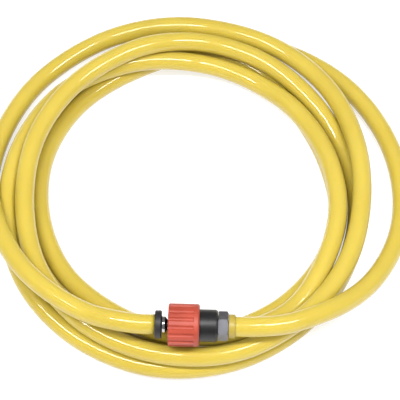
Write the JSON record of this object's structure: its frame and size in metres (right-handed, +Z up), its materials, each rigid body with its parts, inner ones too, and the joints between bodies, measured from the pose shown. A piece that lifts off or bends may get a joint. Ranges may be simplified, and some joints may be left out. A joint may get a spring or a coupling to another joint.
{
  "type": "coiled air hose with quick coupling",
  "caption": "Flexible hose laid in a flat round coil, its two ends joined by a quick-release coupling with a ribbed sliding sleeve.",
  "frame": {"origin": "on the floor under the middle of the whole part's bounding box", "axes": "+Z up; the coil lies on the XY plane; the coupling is at the front, -Y, with its axis along X turned 1.7 degrees; the plug enters from -X"},
  "size_m": [0.329, 0.3105, 0.0617],
  "materials": {
    "hose_yellow": "glossy soft PVC",
    "nipple_chrome": "bright plated",
    "disc_black": "satin",
    "body_black": "satin moulded",
    "sleeve_red": "moulded, ribbed",
    "spring_steel": "drawn wire",
    "ball_steel": "polished",
    "seal_black": "matt",
    "brass": "turned",
    "hex_steel": "dark plated",
    "ferrule_olive": "smooth"
  },
  "bodies": {
    "coil": {"hose": "hose_yellow", "plug_nipple": "nipple_chrome", "protective_disc": "disc_black", "coupling_body": "body_black", "sleeve_spring": "spring_steel", "sleeve_retaining_ring": "spring_steel", "plug_seal": "seal_black", "valve_spring": "spring_steel", "valve_guide": "brass", "body_washer": "seal_black", "hex_adapter": "hex_steel", "hose_ferrule": "ferrule_olive"},
    "sleeve": {"grip_sleeve": "sleeve_red"},
    "poppet": {"valve_poppet": "brass", "poppet_seal": "seal_black"},
    "ball_1": {"locking_ball_1": "ball_steel"},
    "ball_2": {"locking_ball_2": "ball_steel"},
    "ball_3": {"locking_ball_3": "ball_steel"},
    "ball_4": {"locking_ball_4": "ball_steel"}
  },
  "joints": [
    {"name": "sleeve_slide", "type": "slide", "parent": "coil", "child": "sleeve", "axis": [0.9996, -0.0297, 0], "range_m": [0, 0.0045], "stiffness_N_per_m": 1200, "springref_m": -0.004, "deforming": ["sleeve_spring"]},
    {"name": "valve_slide", "type": "slide", "parent": "coil", "child": "poppet", "axis": [0.9996, -0.0297, 0], "range_m": [0, 0.0015], "stiffness_N_per_m": 600, "springref_m": -0.004, "deforming": ["valve_spring"]},
    {"name": "ball_1_slide", "type": "slide", "parent": "coil", "child": "ball_1", "axis": [-0.021, -0.7068, 0.7071], "range_m": [0, 0.001]},
    {"name": "ball_2_slide", "type": "slide", "parent": "coil", "child": "ball_2", "axis": [-0.021, -0.7068, -0.7071], "range_m": [0, 0.001]},
    {"name": "ball_3_slide", "type": "slide", "parent": "coil", "child": "ball_3", "axis": [0.021, 0.7068, -0.7071], "range_m": [0, 0.001]},
    {"name": "ball_4_slide", "type": "slide", "parent": "coil", "child": "ball_4", "axis": [0.021, 0.7068, 0.7071], "range_m": [0, 0.001]}
  ],
  "couplings": [
    {"joint": "ball_1_slide", "follows": "sleeve_slide", "ratio": 0.22},
    {"joint": "ball_2_slide", "follows": "sleeve_slide", "ratio": 0.22},
    {"joint": "ball_3_slide", "follows": "sleeve_slide", "ratio": 0.22},
    {"joint": "ball_4_slide", "follows": "sleeve_slide", "ratio": 0.22}
  ]
}
